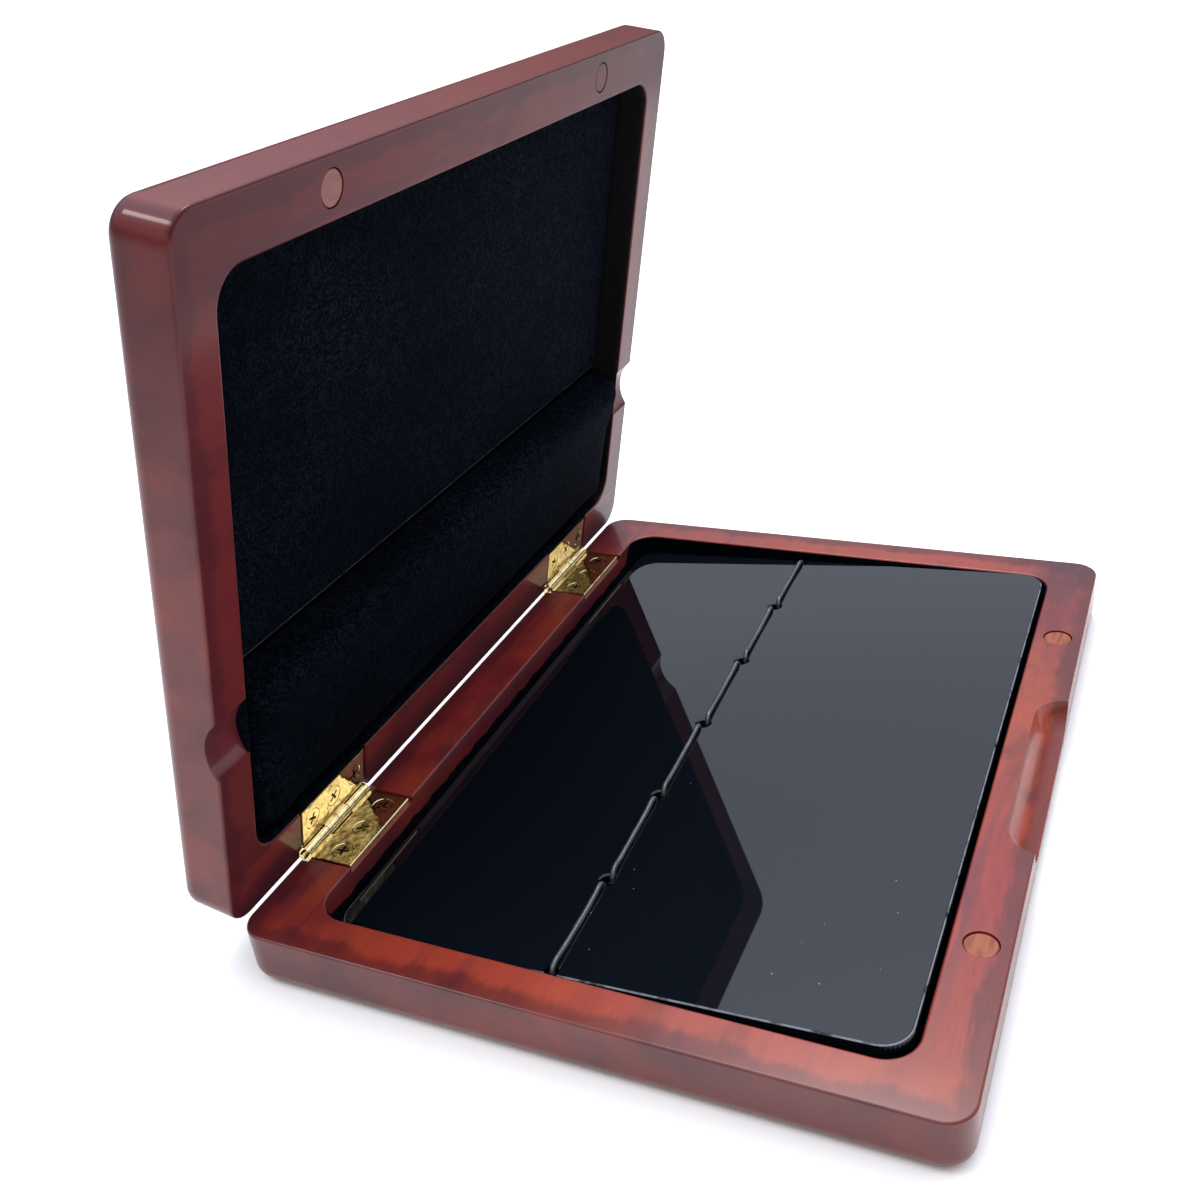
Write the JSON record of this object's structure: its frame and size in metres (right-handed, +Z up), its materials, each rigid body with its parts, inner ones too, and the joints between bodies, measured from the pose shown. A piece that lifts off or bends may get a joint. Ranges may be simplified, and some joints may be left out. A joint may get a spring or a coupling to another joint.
{
  "type": "hinged wooden reed case",
  "caption": "Flat hinged wooden case for instrument reeds: polished plate with a stitched elastic cord in the base, velvet panel and raised bolster in the lid, magnet closure.",
  "frame": {"origin": "centre of the base's underside, the face the case stands on", "axes": "+X along the hinges, +Y towards the hinge side, +Z up; the lid stands open at 78 degrees at rest"},
  "size_m": [0.13, 0.105, 0.1048],
  "materials": {
    "lacquered_wood": "red mahogany stain under high-gloss lacquer",
    "hidden_wood": "plain sanded wood, out of sight",
    "plug_wood": "lighter end-grain wood, lacquered",
    "black_lining": "short black pile",
    "black_velvet": "black velvet",
    "black_plate": "polished black",
    "elastic": "dark grey braided cover, rubbed lighter",
    "brass": "polished",
    "steel": "plated"
  },
  "bodies": {
    "base": {"base_tray": "lacquered_wood", "base_lining": "black_lining", "front_bearer": "hidden_wood", "reed_plate": "black_plate", "elastic_cord": "elastic", "cord_pins": "steel", "base_magnet_left": "steel", "base_magnet_right": "steel", "base_plug_left": "plug_wood", "base_plug_right": "plug_wood", "base_leaf_left": "brass", "base_leaf_right": "brass", "hinge_pin_left": "brass", "hinge_pin_right": "brass", "base_screws_left": "brass", "base_screws_right": "brass"},
    "lid": {"lid_tray": "lacquered_wood", "lid_lining": "black_lining", "lid_panel": "black_velvet", "lid_bolster": "black_velvet", "lid_magnet_left": "steel", "lid_magnet_right": "steel", "lid_plug_left": "plug_wood", "lid_plug_right": "plug_wood", "lid_leaf_left": "brass", "lid_leaf_right": "brass", "lid_screws_left": "brass", "lid_screws_right": "brass"}
  },
  "joints": [
    {"name": "lid_hinge", "type": "hinge", "parent": "base", "child": "lid", "pos_m": [0, 0.04862, 0.00852], "axis": [-1, 0, 0], "range_deg": [-78, 102]}
  ]
}
